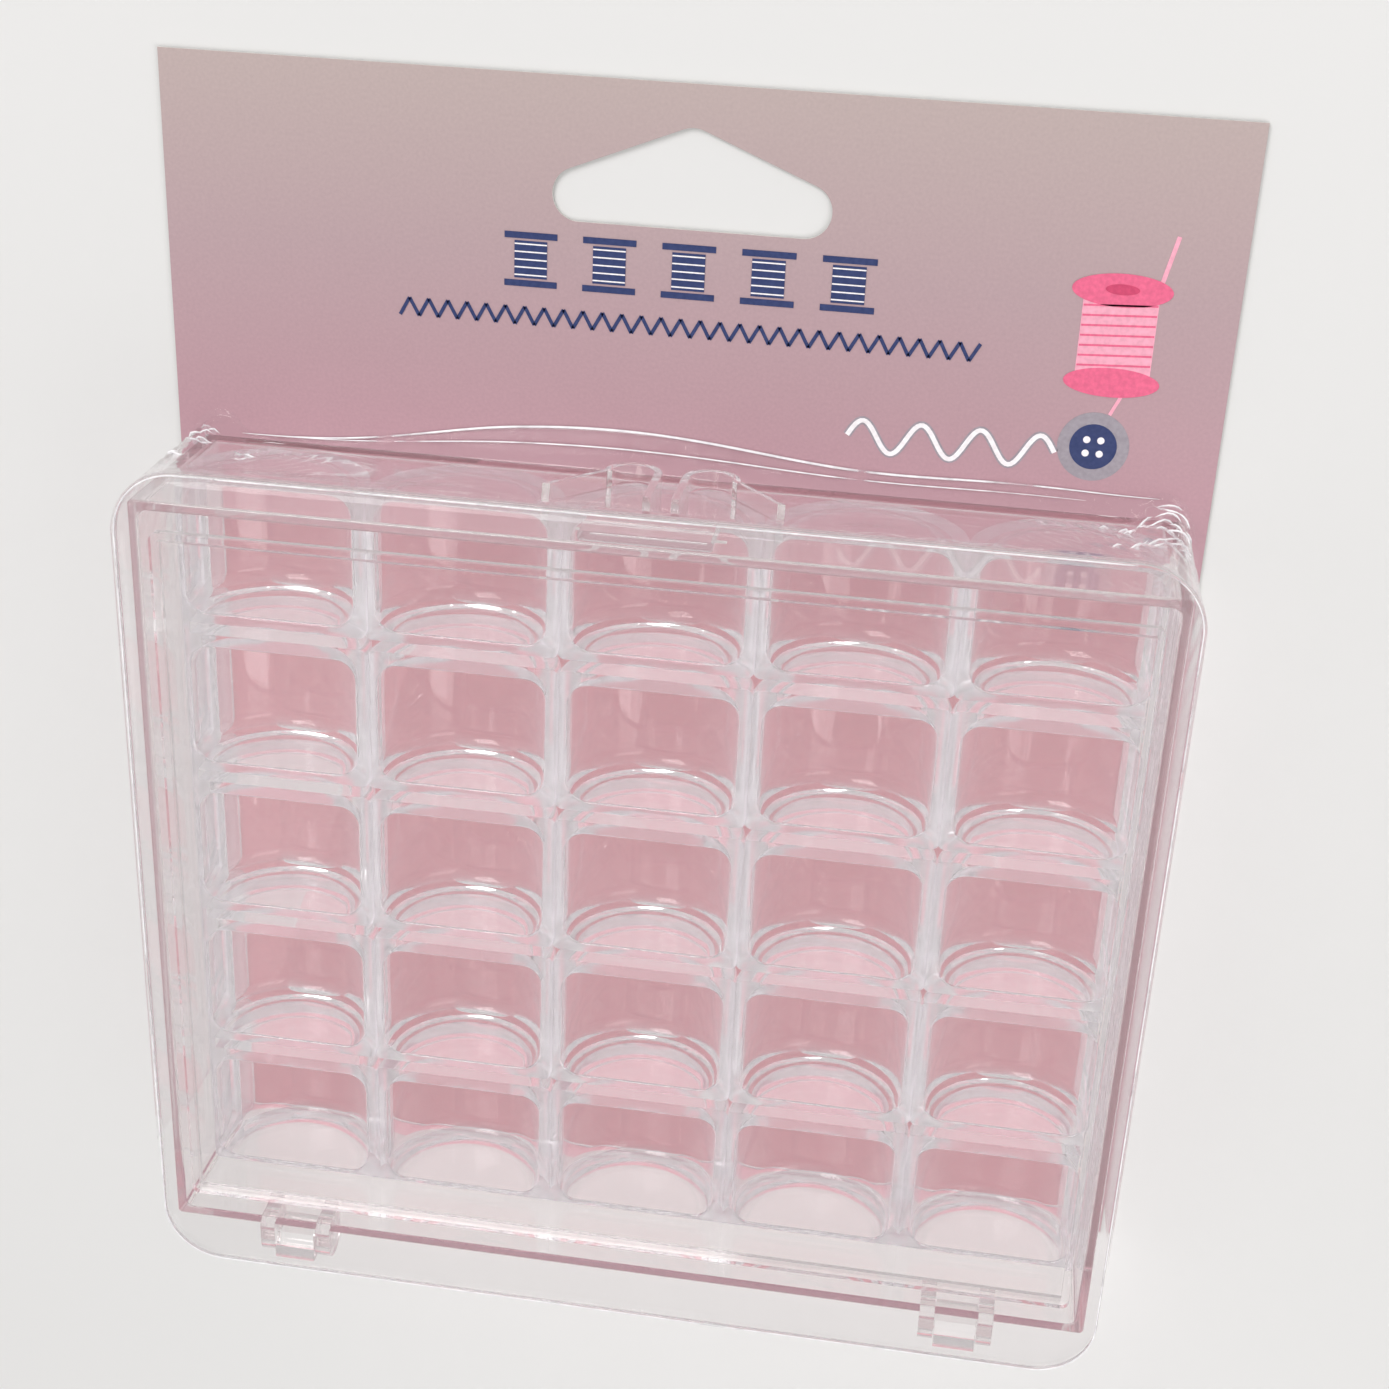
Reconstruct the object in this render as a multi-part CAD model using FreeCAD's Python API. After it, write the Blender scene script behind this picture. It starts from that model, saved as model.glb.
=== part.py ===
import FreeCAD, Part
import os

# Clear hinged bobbin box on its hanging card, all lengths in millimetres.
# X runs across the box, +Y from the hinge towards the hang slot, +Z from the card out through the lid.
# The origin is on the card's back face, below the middle of the box's hinge wall.

# Class 15 bobbin, the thing that each pocket holds standing on its rim
BOBBIN_DIAMETER = 20.3
BOBBIN_CLEARANCE = 0.2
COLUMNS = 5
ROWS = 5

# Pocket insert: SKIN is its land, skirt and floors, TUB_WALL the thicker sides of each tub
POCKET_LENGTH = 15.4
POCKET_ROUND = 2.5
DIVIDER_WIDTH = 2.8
LAND_WIDTH = 4.5
SKIN = 0.8
TUB_WALL = 1.5
TUB_ROUND = 1.0
INSERT_GAP = 0.2
POCKET_LIP = 1.25
MOUTH_ROUND = 0.3

# Box body
WALL = 1.2
FLOOR = 1.2
BODY_CORNER = 0.6
INNER_CORNER = 1.0
RIM_ROUND = 0.3

# Lid plate and its locating rib
LID_THICKNESS = 1.6
LID_CORNER = 7.7
LID_SIDE_OVERHANG = 1.5
LID_HINGE_OVERHANG = 6.0
LID_CATCH_OVERHANG = 3.9
LID_EDGE_ROUND = 0.35
LID_INNER_HEIGHT = 24.4
SEAT_GAP = 0.1
RIB_INSET_X = 2.3
RIB_INSET_Y = 3.7
RIB_THICKNESS = 1.0
RIB_HEIGHT = 1.2
RIB_CORNER = 1.0

# Hinge: two ears on the body on each side, with the lid's knuckle and moulded pin between them
HINGE_SPAN = 43.25
EAR_THICKNESS = 1.9
KNUCKLE_WIDTH = 5.2
KNUCKLE_SIDE_GAP = 0.15
HINGE_OUT = 2.9
HINGE_DROP = 2.6
EAR_RADIUS = 2.35
KNUCKLE_RADIUS = 2.1
PIN_RADIUS = 1.1
PIN_CLEARANCE = 0.08

# Snap catch in the middle of the far wall
CATCH_WIDTH = 15.0
CATCH_LENGTH = 6.0
CATCH_THICKNESS = 1.2
CATCH_GAP = 0.25
BEAD_RADIUS = 0.6
BEAD_PROUD = 0.3
BEAD_DROP = 4.2
GROOVE_RADIUS = 0.75
GUARD_RADIUS = 3.4
GUARD_THICKNESS = 0.9
GUARD_PROUD = 2.2
GUARD_MIDDLE = 4.6
GUARD_HEIGHT = 6.6
GUARD_NEAR_RISE = 8.0
GUARD_FAR_RISE = 6.5
GUARD_FAR_RUN = 6.0

# Card
CARD_WIDTH = 124.0
CARD_THICKNESS = 0.4
CARD_BELOW = 2.5
CARD_TOP = 145.0
SLOT_LENGTH = 32.0
SLOT_END_RADIUS = 3.1
SLOT_APEX_BELOW_TOP = 4.8
SLOT_HEIGHT = 11.4

# Film
FILM_THICKNESS = 0.15
FILM_GAP = 0.1
FILM_FLANGE = 3.0
FILM_SIDE_FLANGE = 0.9

# Sizes that follow from the ones above
POCKET_WIDTH = BOBBIN_DIAMETER + BOBBIN_CLEARANCE
CRADLE_RADIUS = POCKET_WIDTH / 2
COLUMN_PITCH = POCKET_WIDTH + DIVIDER_WIDTH
ROW_PITCH = POCKET_LENGTH + LAND_WIDTH
INSERT_WIDTH = COLUMNS * POCKET_WIDTH + (COLUMNS - 1) * DIVIDER_WIDTH + 2 * SKIN
INSERT_LENGTH = ROWS * POCKET_LENGTH + (ROWS - 1) * LAND_WIDTH + 2 * SKIN
BODY_WIDTH = INSERT_WIDTH + 2 * (INSERT_GAP + WALL)
BODY_LENGTH = INSERT_LENGTH + 2 * (INSERT_GAP + WALL)
BODY_TOP = LID_INNER_HEIGHT - SEAT_GAP
FLOOR_TOP = CARD_THICKNESS + FLOOR
POCKET_FLOOR = FLOOR_TOP + SEAT_GAP + SKIN
CRADLE_AXIS = POCKET_FLOOR + CRADLE_RADIUS
LAND_TOP = CRADLE_AXIS + POCKET_LIP
LID_OUTER_HEIGHT = LID_INNER_HEIGHT + LID_THICKNESS
HINGE_Y = -HINGE_OUT
HINGE_Z = LID_INNER_HEIGHT - HINGE_DROP

# How far a cut runs past the surface that it opens
EXTRA = 1.0


def vec(x, y, z):
    return FreeCAD.Vector(x, y, z)


def block(x0, x1, y0, y1, z0, z1):
    """A box between two corners."""
    return Part.makeBox(x1 - x0, y1 - y0, z1 - z0, vec(x0, y0, z0))


def rounded_block(x0, x1, y0, y1, z0, z1, radius):
    """A box whose four upright edges are rounded."""
    solid = block(x0, x1, y0, y1, z0, z1)
    upright = [edge for edge in solid.Edges if abs(edge.tangentAt(edge.FirstParameter).z) > 0.5]
    return solid.makeFillet(radius, upright)


def rod_along_x(x0, x1, y, z, radius):
    """A cylinder that lies along X."""
    return Part.makeCylinder(radius, x1 - x0, vec(x0, y, z), vec(1, 0, 0))


def pocket_centres():
    """The middle of each pocket in X and Y."""
    for row in range(ROWS):
        y = BODY_LENGTH / 2 + (row - (ROWS - 1) / 2) * ROW_PITCH
        for column in range(COLUMNS):
            yield (column - (COLUMNS - 1) / 2) * COLUMN_PITCH, y


def trough(x, y, wall, top, end_round):
    """A half-round trough with straight sides above its axis and soft ends, grown outwards by wall."""
    half_length = POCKET_LENGTH / 2 + wall
    radius = CRADLE_RADIUS + wall
    left = vec(x - radius, y - half_length, CRADLE_AXIS)
    right = vec(x + radius, y - half_length, CRADLE_AXIS)
    lowest = vec(x, y - half_length, CRADLE_AXIS - radius)
    rise = vec(0, 0, top - CRADLE_AXIS)
    outline = [Part.Arc(left, lowest, right).toShape(), Part.makeLine(right, right + rise),
               Part.makeLine(right + rise, left + rise), Part.makeLine(left + rise, left)]
    solid = Part.Face(Part.Wire(outline)).extrude(vec(0, 2 * half_length, 0))
    end_edges = [edge for edge in solid.Edges
                 if edge.BoundBox.YLength < SKIN / 2 and edge.BoundBox.ZMin < top - SKIN / 4]
    return solid.makeFillet(end_round, end_edges)


def pocket_insert():
    """The 5 by 5 tray: one moulding with tubs hanging from a flat land, and a skirt all round.

    Tubs side by side run together into solid ribs. Rows of tubs are parted by the hollow below the land.
    """
    half_width = INSERT_WIDTH / 2
    y0 = WALL + INSERT_GAP
    y1 = y0 + INSERT_LENGTH
    corner = INNER_CORNER - INSERT_GAP
    land = rounded_block(-half_width, half_width, y0, y1, LAND_TOP - SKIN, LAND_TOP, corner)
    skirt = rounded_block(-half_width, half_width, y0, y1, FLOOR_TOP, LAND_TOP - SKIN, corner)
    hollow = block(-half_width + SKIN, half_width - SKIN, y0 + SKIN, y1 - SKIN, FLOOR_TOP - EXTRA, LAND_TOP)
    within = rounded_block(-half_width, half_width, y0, y1, FLOOR_TOP + SEAT_GAP, LAND_TOP, corner)
    tubs = [trough(x, y, TUB_WALL, LAND_TOP - SKIN / 2, TUB_ROUND).common(within)
            for x, y in pocket_centres()]
    pockets = [trough(x, y, 0, LAND_TOP + EXTRA, POCKET_ROUND) for x, y in pocket_centres()]
    shell = land.fuse([skirt.cut(hollow)] + tubs)
    tray = shell.cut(Part.makeCompound(pockets)).removeSplitter()
    mouths = [edge for edge in tray.Edges
              if edge.BoundBox.ZMin > LAND_TOP - SKIN / 4 and edge.BoundBox.YMin > y0 + SKIN / 4
              and edge.BoundBox.YMax < y1 - SKIN / 4]
    return tray.makeFillet(MOUTH_ROUND, mouths)


def hinge_ear(x_middle):
    """One flat ear on the outside of the hinge wall, with a round end about the hinge axis."""
    x0 = x_middle - EAR_THICKNESS / 2
    x1 = x_middle + EAR_THICKNESS / 2
    round_end = rod_along_x(x0, x1, HINGE_Y, HINGE_Z, EAR_RADIUS)
    root = block(x0, x1, HINGE_Y, WALL / 2, HINGE_Z - EAR_RADIUS, HINGE_Z + EAR_RADIUS)
    return round_end.fuse(root)


def ear_middles():
    """The X of the four ears' middles."""
    offset = KNUCKLE_WIDTH / 2 + KNUCKLE_SIDE_GAP + EAR_THICKNESS / 2
    return [side * HINGE_SPAN + step for side in (-1, 1) for step in (-offset, offset)]


def thumb_guard(side):
    """A hooked rib on the outside of the catch wall: a straight leg, a round arch and a slanting tail."""
    y0 = BODY_LENGTH - WALL / 2
    height = WALL / 2 + GUARD_PROUD
    x = side * GUARD_MIDDLE
    z = GUARD_HEIGHT
    inner = GUARD_RADIUS - GUARD_THICKNESS
    ring = Part.makeCylinder(GUARD_RADIUS, height, vec(x, y0, z), vec(0, 1, 0))
    ring = ring.cut(Part.makeCylinder(inner, height, vec(x, y0, z), vec(0, 1, 0)))
    arch = ring.common(block(x - GUARD_RADIUS, x + GUARD_RADIUS, y0, y0 + height, z - GUARD_RADIUS, z))
    leg_x = sorted((x - side * inner, x - side * GUARD_RADIUS))
    leg = block(leg_x[0], leg_x[1], y0, y0 + height, z, z + GUARD_NEAR_RISE)
    tail_x = x + side * inner
    tail_end = tail_x + side * GUARD_FAR_RUN
    tail_outline = [(tail_x, z), (tail_x + side * GUARD_THICKNESS, z),
                    (tail_end + side * GUARD_THICKNESS, z + GUARD_FAR_RISE), (tail_end, z + GUARD_FAR_RISE),
                    (tail_x, z)]
    tail = Part.Face(Part.makePolygon([vec(px, y0, pz) for px, pz in tail_outline]))
    return arch.fuse([leg, tail.extrude(vec(0, height, 0))])


def box_body():
    """The deep tray: floor, four walls, hinge ears, catch groove and thumb guards."""
    half_width = BODY_WIDTH / 2
    outside = rounded_block(-half_width, half_width, 0, BODY_LENGTH, CARD_THICKNESS, BODY_TOP, BODY_CORNER)
    inside = rounded_block(-half_width + WALL, half_width - WALL, WALL, BODY_LENGTH - WALL, FLOOR_TOP,
                           BODY_TOP + EXTRA, INNER_CORNER)
    shell = outside.cut(inside)
    rim = [edge for edge in shell.Edges if edge.BoundBox.ZMin > BODY_TOP - WALL / 4]
    foot = [edge for edge in shell.Edges if edge.BoundBox.ZMax < CARD_THICKNESS + WALL / 4]
    shell = shell.makeFillet(RIM_ROUND, rim + foot)
    tray = shell.fuse([hinge_ear(x) for x in ear_middles()] + [thumb_guard(side) for side in (-1, 1)])
    bore = rod_along_x(-half_width, half_width, HINGE_Y, HINGE_Z, PIN_RADIUS + PIN_CLEARANCE)
    groove_y = BODY_LENGTH + CATCH_GAP + BEAD_RADIUS - BEAD_PROUD
    groove = rod_along_x(-CATCH_WIDTH / 2 - EXTRA, CATCH_WIDTH / 2 + EXTRA, groove_y,
                         LID_INNER_HEIGHT - BEAD_DROP, GROOVE_RADIUS)
    return tray.cut([bore, groove, inside]).removeSplitter()


def knuckle(x_middle):
    """The lid's round lug between two ears, with the pin that turns in them."""
    x0 = x_middle - KNUCKLE_WIDTH / 2
    x1 = x_middle + KNUCKLE_WIDTH / 2
    lug = rod_along_x(x0, x1, HINGE_Y, HINGE_Z, KNUCKLE_RADIUS)
    web = block(x0, x1, HINGE_Y - KNUCKLE_RADIUS, HINGE_Y + KNUCKLE_RADIUS,
                HINGE_Z, LID_INNER_HEIGHT + SEAT_GAP)
    pin_reach = KNUCKLE_SIDE_GAP + EAR_THICKNESS
    pin = rod_along_x(x0 - pin_reach, x1 + pin_reach, HINGE_Y, HINGE_Z, PIN_RADIUS)
    return lug.fuse([web, pin])


def catch_tab():
    """The tab that hangs over the far wall, with a bead that snaps into the wall's groove."""
    y0 = BODY_LENGTH + CATCH_GAP
    tab = rounded_block(-CATCH_WIDTH / 2, CATCH_WIDTH / 2, y0, y0 + CATCH_THICKNESS,
                        LID_INNER_HEIGHT - CATCH_LENGTH, LID_INNER_HEIGHT + SEAT_GAP, CATCH_THICKNESS / 3)
    bead = rod_along_x(-CATCH_WIDTH / 2 + EXTRA, CATCH_WIDTH / 2 - EXTRA, y0 + BEAD_RADIUS - BEAD_PROUD,
                       LID_INNER_HEIGHT - BEAD_DROP, BEAD_RADIUS)
    return tab.fuse(bead)


def locating_rib():
    """The low ring under the plate that drops just inside the walls."""
    x1 = BODY_WIDTH / 2 - RIB_INSET_X
    y0 = RIB_INSET_Y
    y1 = BODY_LENGTH - RIB_INSET_Y
    z0 = LID_INNER_HEIGHT - RIB_HEIGHT
    z1 = LID_INNER_HEIGHT + SEAT_GAP
    outer = rounded_block(-x1, x1, y0, y1, z0, z1, RIB_CORNER)
    inner = block(-x1 + RIB_THICKNESS, x1 - RIB_THICKNESS, y0 + RIB_THICKNESS, y1 - RIB_THICKNESS,
                  z0 - EXTRA, z1 + EXTRA)
    return outer.cut(inner)


def lid_extent():
    """The plate's lowest and highest X and Y."""
    half_width = BODY_WIDTH / 2 + LID_SIDE_OVERHANG
    return -half_width, half_width, -LID_HINGE_OVERHANG, BODY_LENGTH + LID_CATCH_OVERHANG


def lid():
    """The flat plate with round corners, its rib, knuckles and catch tab."""
    x0, x1, y0, y1 = lid_extent()
    plate = rounded_block(x0, x1, y0, y1, LID_INNER_HEIGHT, LID_OUTER_HEIGHT, LID_CORNER)
    rim = [edge for edge in plate.Edges if edge.BoundBox.ZLength < SEAT_GAP]
    plate = plate.makeFillet(LID_EDGE_ROUND, rim)
    knuckles = [knuckle(side * HINGE_SPAN) for side in (-1, 1)]
    return plate.fuse([locating_rib(), catch_tab()] + knuckles).removeSplitter()


def hang_slot():
    """The three-cornered hang hole: a triangle grown by the radius of its round ends."""
    end_x = SLOT_LENGTH / 2 - SLOT_END_RADIUS
    apex_y = CARD_TOP - SLOT_APEX_BELOW_TOP - SLOT_END_RADIUS
    base_y = CARD_TOP - SLOT_APEX_BELOW_TOP - SLOT_HEIGHT + SLOT_END_RADIUS
    corners = [vec(-end_x, base_y, 0), vec(end_x, base_y, 0), vec(0, apex_y, 0), vec(-end_x, base_y, 0)]
    outline = Part.makePolygon(corners).makeOffset2D(SLOT_END_RADIUS)
    hole = Part.Face(outline).extrude(vec(0, 0, CARD_THICKNESS + 2 * EXTRA))
    hole.translate(vec(0, 0, -EXTRA))
    return hole


def header_card():
    """The flat card behind the whole box, with the hang slot above it."""
    sheet = block(-CARD_WIDTH / 2, CARD_WIDTH / 2, -CARD_BELOW, CARD_TOP, 0, CARD_THICKNESS)
    return sheet.cut(hang_slot())


def film_front():
    """The film over the lid's face, slit free along the lid's edge so that the lid can open."""
    x0, x1, y0, y1 = lid_extent()
    z0 = LID_OUTER_HEIGHT
    return rounded_block(x0 + LID_EDGE_ROUND, x1 - LID_EDGE_ROUND, y0 + LID_EDGE_ROUND, y1 - LID_EDGE_ROUND,
                         z0, z0 + FILM_THICKNESS, LID_CORNER - LID_EDGE_ROUND)


def film_sleeve():
    """The film round both sides and the far end, from the lid's edge back to a flange on the card."""
    x0, x1, y0, y1 = lid_extent()
    grow = FILM_GAP + FILM_THICKNESS
    corner = LID_CORNER + grow
    outer = rounded_block(x0 - grow, x1 + grow, y0, y1 + grow, CARD_THICKNESS, LID_OUTER_HEIGHT, corner)
    inner = rounded_block(x0 - FILM_GAP, x1 + FILM_GAP, y0 - EXTRA, y1 + FILM_GAP,
                          CARD_THICKNESS - EXTRA, LID_OUTER_HEIGHT + EXTRA, LID_CORNER + FILM_GAP)
    flange_outer = rounded_block(x0 - FILM_SIDE_FLANGE, x1 + FILM_SIDE_FLANGE, y0, y1 + FILM_FLANGE,
                                 CARD_THICKNESS, CARD_THICKNESS + FILM_THICKNESS, LID_CORNER)
    hinge_end = block(x0 - CARD_WIDTH, x1 + CARD_WIDTH, y0 - EXTRA, corner, 0, LID_OUTER_HEIGHT + EXTRA)
    return outer.fuse(flange_outer).cut([inner, hinge_end]).removeSplitter()


def main():
    os.makedirs("parts", exist_ok=True)
    nodes = {
        "box_body": box_body(),
        "pocket_insert": pocket_insert(),
        "lid": lid(),
        "header_card": header_card(),
        "film_front": film_front(),
        "film_sleeve": film_sleeve(),
    }
    for name, shape in nodes.items():
        print(name, "valid", shape.isValid(), "solids", len(shape.Solids), "volume", round(shape.Volume, 1))
        shape.exportStep(f"parts/{name}.step")


main()
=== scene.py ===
import math
import random

import bmesh
import bpy
from mathutils import Matrix, Vector, noise


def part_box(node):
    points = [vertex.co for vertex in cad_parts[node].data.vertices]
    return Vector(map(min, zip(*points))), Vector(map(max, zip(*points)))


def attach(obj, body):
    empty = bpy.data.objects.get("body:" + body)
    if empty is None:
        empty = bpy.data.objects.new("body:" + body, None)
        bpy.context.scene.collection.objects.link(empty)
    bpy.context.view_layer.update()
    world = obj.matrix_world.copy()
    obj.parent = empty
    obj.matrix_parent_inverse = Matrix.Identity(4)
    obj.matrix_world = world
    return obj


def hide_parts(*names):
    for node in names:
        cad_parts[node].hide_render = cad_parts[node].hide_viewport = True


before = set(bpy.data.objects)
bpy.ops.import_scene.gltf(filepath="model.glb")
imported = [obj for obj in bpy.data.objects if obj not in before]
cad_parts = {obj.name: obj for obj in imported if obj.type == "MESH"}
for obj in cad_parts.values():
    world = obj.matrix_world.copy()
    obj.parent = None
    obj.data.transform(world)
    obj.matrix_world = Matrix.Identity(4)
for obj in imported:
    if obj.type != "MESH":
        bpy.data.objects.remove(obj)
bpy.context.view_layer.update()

# A clear hinged bobbin box on its hanging card, as packed for a shop. Everything here is in metres.
# X runs across the box, +Y from the hinge towards the hang slot, +Z from the card out through the lid.

MM = 0.001

BODY_LOW, BODY_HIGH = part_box("box_body")
LID_LOW, LID_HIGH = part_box("lid")
CARD_LOW, CARD_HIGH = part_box("header_card")
FRONT_LOW, FRONT_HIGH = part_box("film_front")
FILM_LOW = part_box("film_sleeve")[0]

# Sizes that the frame's boxes can't give
GUARD_REACH = 2.2 * MM                    # the thumb guards stand this far out from the far wall
FAR_WALL = BODY_HIGH.y - GUARD_REACH
HINGE_WALL_INNER = 1.2 * MM
LID_CORNER = 7.7 * MM
LID_THICKNESS = 1.6 * MM
SHARP_ANGLE = math.radians(42)
INK_RISE = 0.02 * MM
INK_LIFT = 0.01 * MM

# Film: how it hangs from the lid's edge to the card
FILM_THICKNESS = 0.04 * MM
FILM_CLEAR = 0.16 * MM                    # gap between the lid's edge and the film
FILM_ROWS = 26
FLANGE_ROWS = 6
FAR_SAG = 1.3                             # millimetres that the film hollows in, over the far wall
FAR_DRAW_IN = 4.4                         # millimetres that its foot moves in, to reach that wall
SIDE_SAG = 0.3 * MM
FILM_SLACK = 0.35 * MM
SIDE_FLANGE = 0.9 * MM
SHORTEST_FLANGE = 0.3 * MM
EDGE_CURL = 0.35 * MM
FRONT_RINGS = 26
FRONT_LIFT = 0.09 * MM
FRONT_RIPPLE = 0.05 * MM

# Film: gathers and creases at the two far corners
CRUMPLE_REACH = 11 * MM
CRUMPLE_WAVE = 2.1 * MM
CRUMPLE_HEIGHT = 0.4 * MM
CREASE_SPREAD = 13 * MM
CREASE_SEED = 11
LEFT_CREASES = 14
RIGHT_CREASES = 30
LONGEST_CREASE = 7

# Radii of the fine beads where film is cut, folded, slit or creased; their white is a painted highlight
CUT_BEAD = 0.17 * MM
FOLD_BEAD = 0.10 * MM
SLIT_BEAD = 0.09 * MM
CREASE_BEAD = 0.12 * MM

# Looks of the clear mouldings
NEAR_WHITE = (0.998, 0.997, 0.998, 1.0)
BODY_TINT = (0.978, 0.966, 0.966, 1.0)
LID_TINT = (0.970, 0.961, 0.960, 1.0)
LID_SHADE = (0.94, 0.93, 0.935, 1.0)
# Painted glow: past TRAPPED_AFTER faces, a ray shows these emission colours, though the mouldings are no
# lamps; CARD_PINK_GLOW is a painted reflection of the card
TRAPPED_AFTER = 8.5                       # faces a ray may meet before it shows a moulding's glow
RIB_GLOW = (0.64, 0.61, 0.62, 1.0)
WALL_GLOW = (0.82, 0.80, 0.79, 1.0)
LID_GLOW = (0.78, 0.75, 0.76, 1.0)
CARD_PINK_GLOW = (0.50, 0.24, 0.30, 1.0)
POLYSTYRENE_IOR = 1.59


# ---------------------------------------------------------------- node helpers

def srgb(red, green, blue):
    """An 8-bit display colour as linear RGBA."""

    def linear(value):
        """One channel from display to linear."""
        value = value / 255
        return value / 12.92 if value <= 0.04045 else ((value + 0.055) / 1.055) ** 2.4
    return (linear(red), linear(green), linear(blue), 1.0)


def new_material(name):
    """An empty node material and its output node."""
    material = bpy.data.materials.new(name)
    material.use_nodes = True
    tree = material.node_tree
    tree.nodes.clear()
    output = tree.nodes.new("ShaderNodeOutputMaterial")
    return material, tree, output


def node(tree, kind, **settings):
    """A node with its properties and, by name, its input values set."""
    made = tree.nodes.new(kind)
    for key, value in settings.items():
        if hasattr(made, key):
            setattr(made, key, value)
        else:
            made.inputs[key.replace("_", " ")].default_value = value
    return made


def link(tree, source, target):
    """Join one node's output to another's input."""
    tree.links.new(source, target)


def object_noise(tree, scale, detail=3.0, stretch=(1.0, 1.0, 1.0)):
    """Noise fixed to the object's own coordinates."""
    coordinates = node(tree, "ShaderNodeTexCoord")
    mapping = node(tree, "ShaderNodeMapping")
    mapping.inputs["Scale"].default_value = stretch
    texture = node(tree, "ShaderNodeTexNoise", Scale=scale, Detail=detail)
    link(tree, coordinates.outputs["Object"], mapping.inputs["Vector"])
    link(tree, mapping.outputs["Vector"], texture.inputs["Vector"])
    return texture.outputs["Fac"]


def ramp(tree, factor, stops):
    """A colour ramp through (position, colour) stops."""
    made = node(tree, "ShaderNodeValToRGB")
    elements = made.color_ramp.elements
    elements[0].position, elements[0].color = stops[0]
    elements[1].position, elements[1].color = stops[-1]
    for position, colour in stops[1:-1]:
        extra = elements.new(position)
        extra.color = colour
    link(tree, factor, made.inputs["Fac"])
    return made.outputs["Color"]


def object_place(tree):
    """The X, Y and Z of a surface point in the object's own coordinates."""
    coordinates = node(tree, "ShaderNodeTexCoord")
    place = node(tree, "ShaderNodeSeparateXYZ")
    link(tree, coordinates.outputs["Object"], place.inputs["Vector"])
    return place


def soft_step(tree, value, low, high):
    """0 below low, 1 above high, and a smooth climb between them."""
    step = node(tree, "ShaderNodeMapRange", interpolation_type="SMOOTHSTEP")
    step.inputs["From Min"].default_value = low
    step.inputs["From Max"].default_value = high
    link(tree, value, step.inputs["Value"])
    return step.outputs["Result"]


def mix_shaders(tree, factor, first, second):
    """The first shader at factor 0 and the second at factor 1."""
    mixer = node(tree, "ShaderNodeMixShader")
    link(tree, factor, mixer.inputs["Fac"])
    link(tree, first, mixer.inputs[1])
    link(tree, second, mixer.inputs[2])
    return mixer.outputs["Shader"]


def let_light_through(tree, shader, tint):
    """Shadow rays pass straight through, so that the card under the clear parts is lit."""
    path = node(tree, "ShaderNodeLightPath")
    clear = node(tree, "ShaderNodeBsdfTransparent", Color=tint)
    return mix_shaders(tree, path.outputs["Is Shadow Ray"], shader, clear.outputs["BSDF"])


# ---------------------------------------------------------------- materials

def brighten_trapped_light(tree, shader, hinge_glow, glow):
    """A ray that has met many faces shows a painted glow: an emission standing in for the scattered light
    that real plastic carries to its edges.

    The painted glow can differ on the hinge wall, whose rim shows the card's colour as a painted
    reflection.
    """
    path = node(tree, "ShaderNodeLightPath")
    deep = node(tree, "ShaderNodeMath", operation="GREATER_THAN")
    deep.inputs[1].default_value = TRAPPED_AFTER
    link(tree, path.outputs["Ray Depth"], deep.inputs[0])
    along = object_place(tree).outputs["Y"]
    past_hinge_wall = soft_step(tree, along, HINGE_WALL_INNER, HINGE_WALL_INNER + 1.3 * MM)
    tone = ramp(tree, past_hinge_wall, [(0.0, hinge_glow), (1.0, glow)])
    # Painted glow: an emission that stands in for scattered light, not a lamp
    painted_glow = node(tree, "ShaderNodeEmission", Strength=1.0)
    link(tree, tone, painted_glow.inputs["Color"])
    return mix_shaders(tree, deep.outputs["Value"], shader, painted_glow.outputs["Emission"])


def facing_curve(tree, power, edge, base):
    """A factor that is base where a surface faces the viewer and climbs by edge where seen edge on."""
    facing = node(tree, "ShaderNodeLayerWeight", Blend=0.5)
    climb = node(tree, "ShaderNodeMath", operation="POWER")
    climb.inputs[1].default_value = power
    link(tree, facing.outputs["Facing"], climb.inputs[0])
    factor = node(tree, "ShaderNodeMath", operation="MULTIPLY_ADD")
    factor.inputs[1].default_value = edge
    factor.inputs[2].default_value = base
    link(tree, climb.outputs["Value"], factor.inputs[0])
    return factor.outputs["Value"]


def clear_polystyrene(name, tint, haze, edge_haze, hinge_glow, glow, shade):
    """Clear moulded polystyrene: faint haze that thickens edge on, flow ripple, hairline scuffs, and a
    painted glow where a ray is trapped.
    """
    material, tree, output = new_material(name)
    glass = node(tree, "ShaderNodeBsdfGlass", IOR=POLYSTYRENE_IOR)
    glass.inputs["Color"].default_value = tint
    scuffs = object_noise(tree, 260.0, 6.0, (1.0, 6.0, 1.0))
    rough = node(tree, "ShaderNodeMapRange")
    rough.inputs["From Min"].default_value = 0.45
    rough.inputs["From Max"].default_value = 0.75
    rough.inputs["To Min"].default_value = 0.0
    rough.inputs["To Max"].default_value = 0.07
    link(tree, scuffs, rough.inputs["Value"])
    link(tree, rough.outputs["Result"], glass.inputs["Roughness"])
    ripple = node(tree, "ShaderNodeBump", Strength=0.05, Distance=0.0004)
    link(tree, object_noise(tree, 90.0, 2.0), ripple.inputs["Height"])
    link(tree, ripple.outputs["Normal"], glass.inputs["Normal"])
    milk = node(tree, "ShaderNodeBsdfDiffuse")
    milk.inputs["Color"].default_value = srgb(240, 238, 242)
    fog = facing_curve(tree, 3.0, edge_haze, haze)
    hazed = mix_shaders(tree, fog, glass.outputs["BSDF"], milk.outputs["BSDF"])
    bright = brighten_trapped_light(tree, hazed, hinge_glow, glow)
    link(tree, let_light_through(tree, bright, shade), output.inputs["Surface"])
    return material


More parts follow.
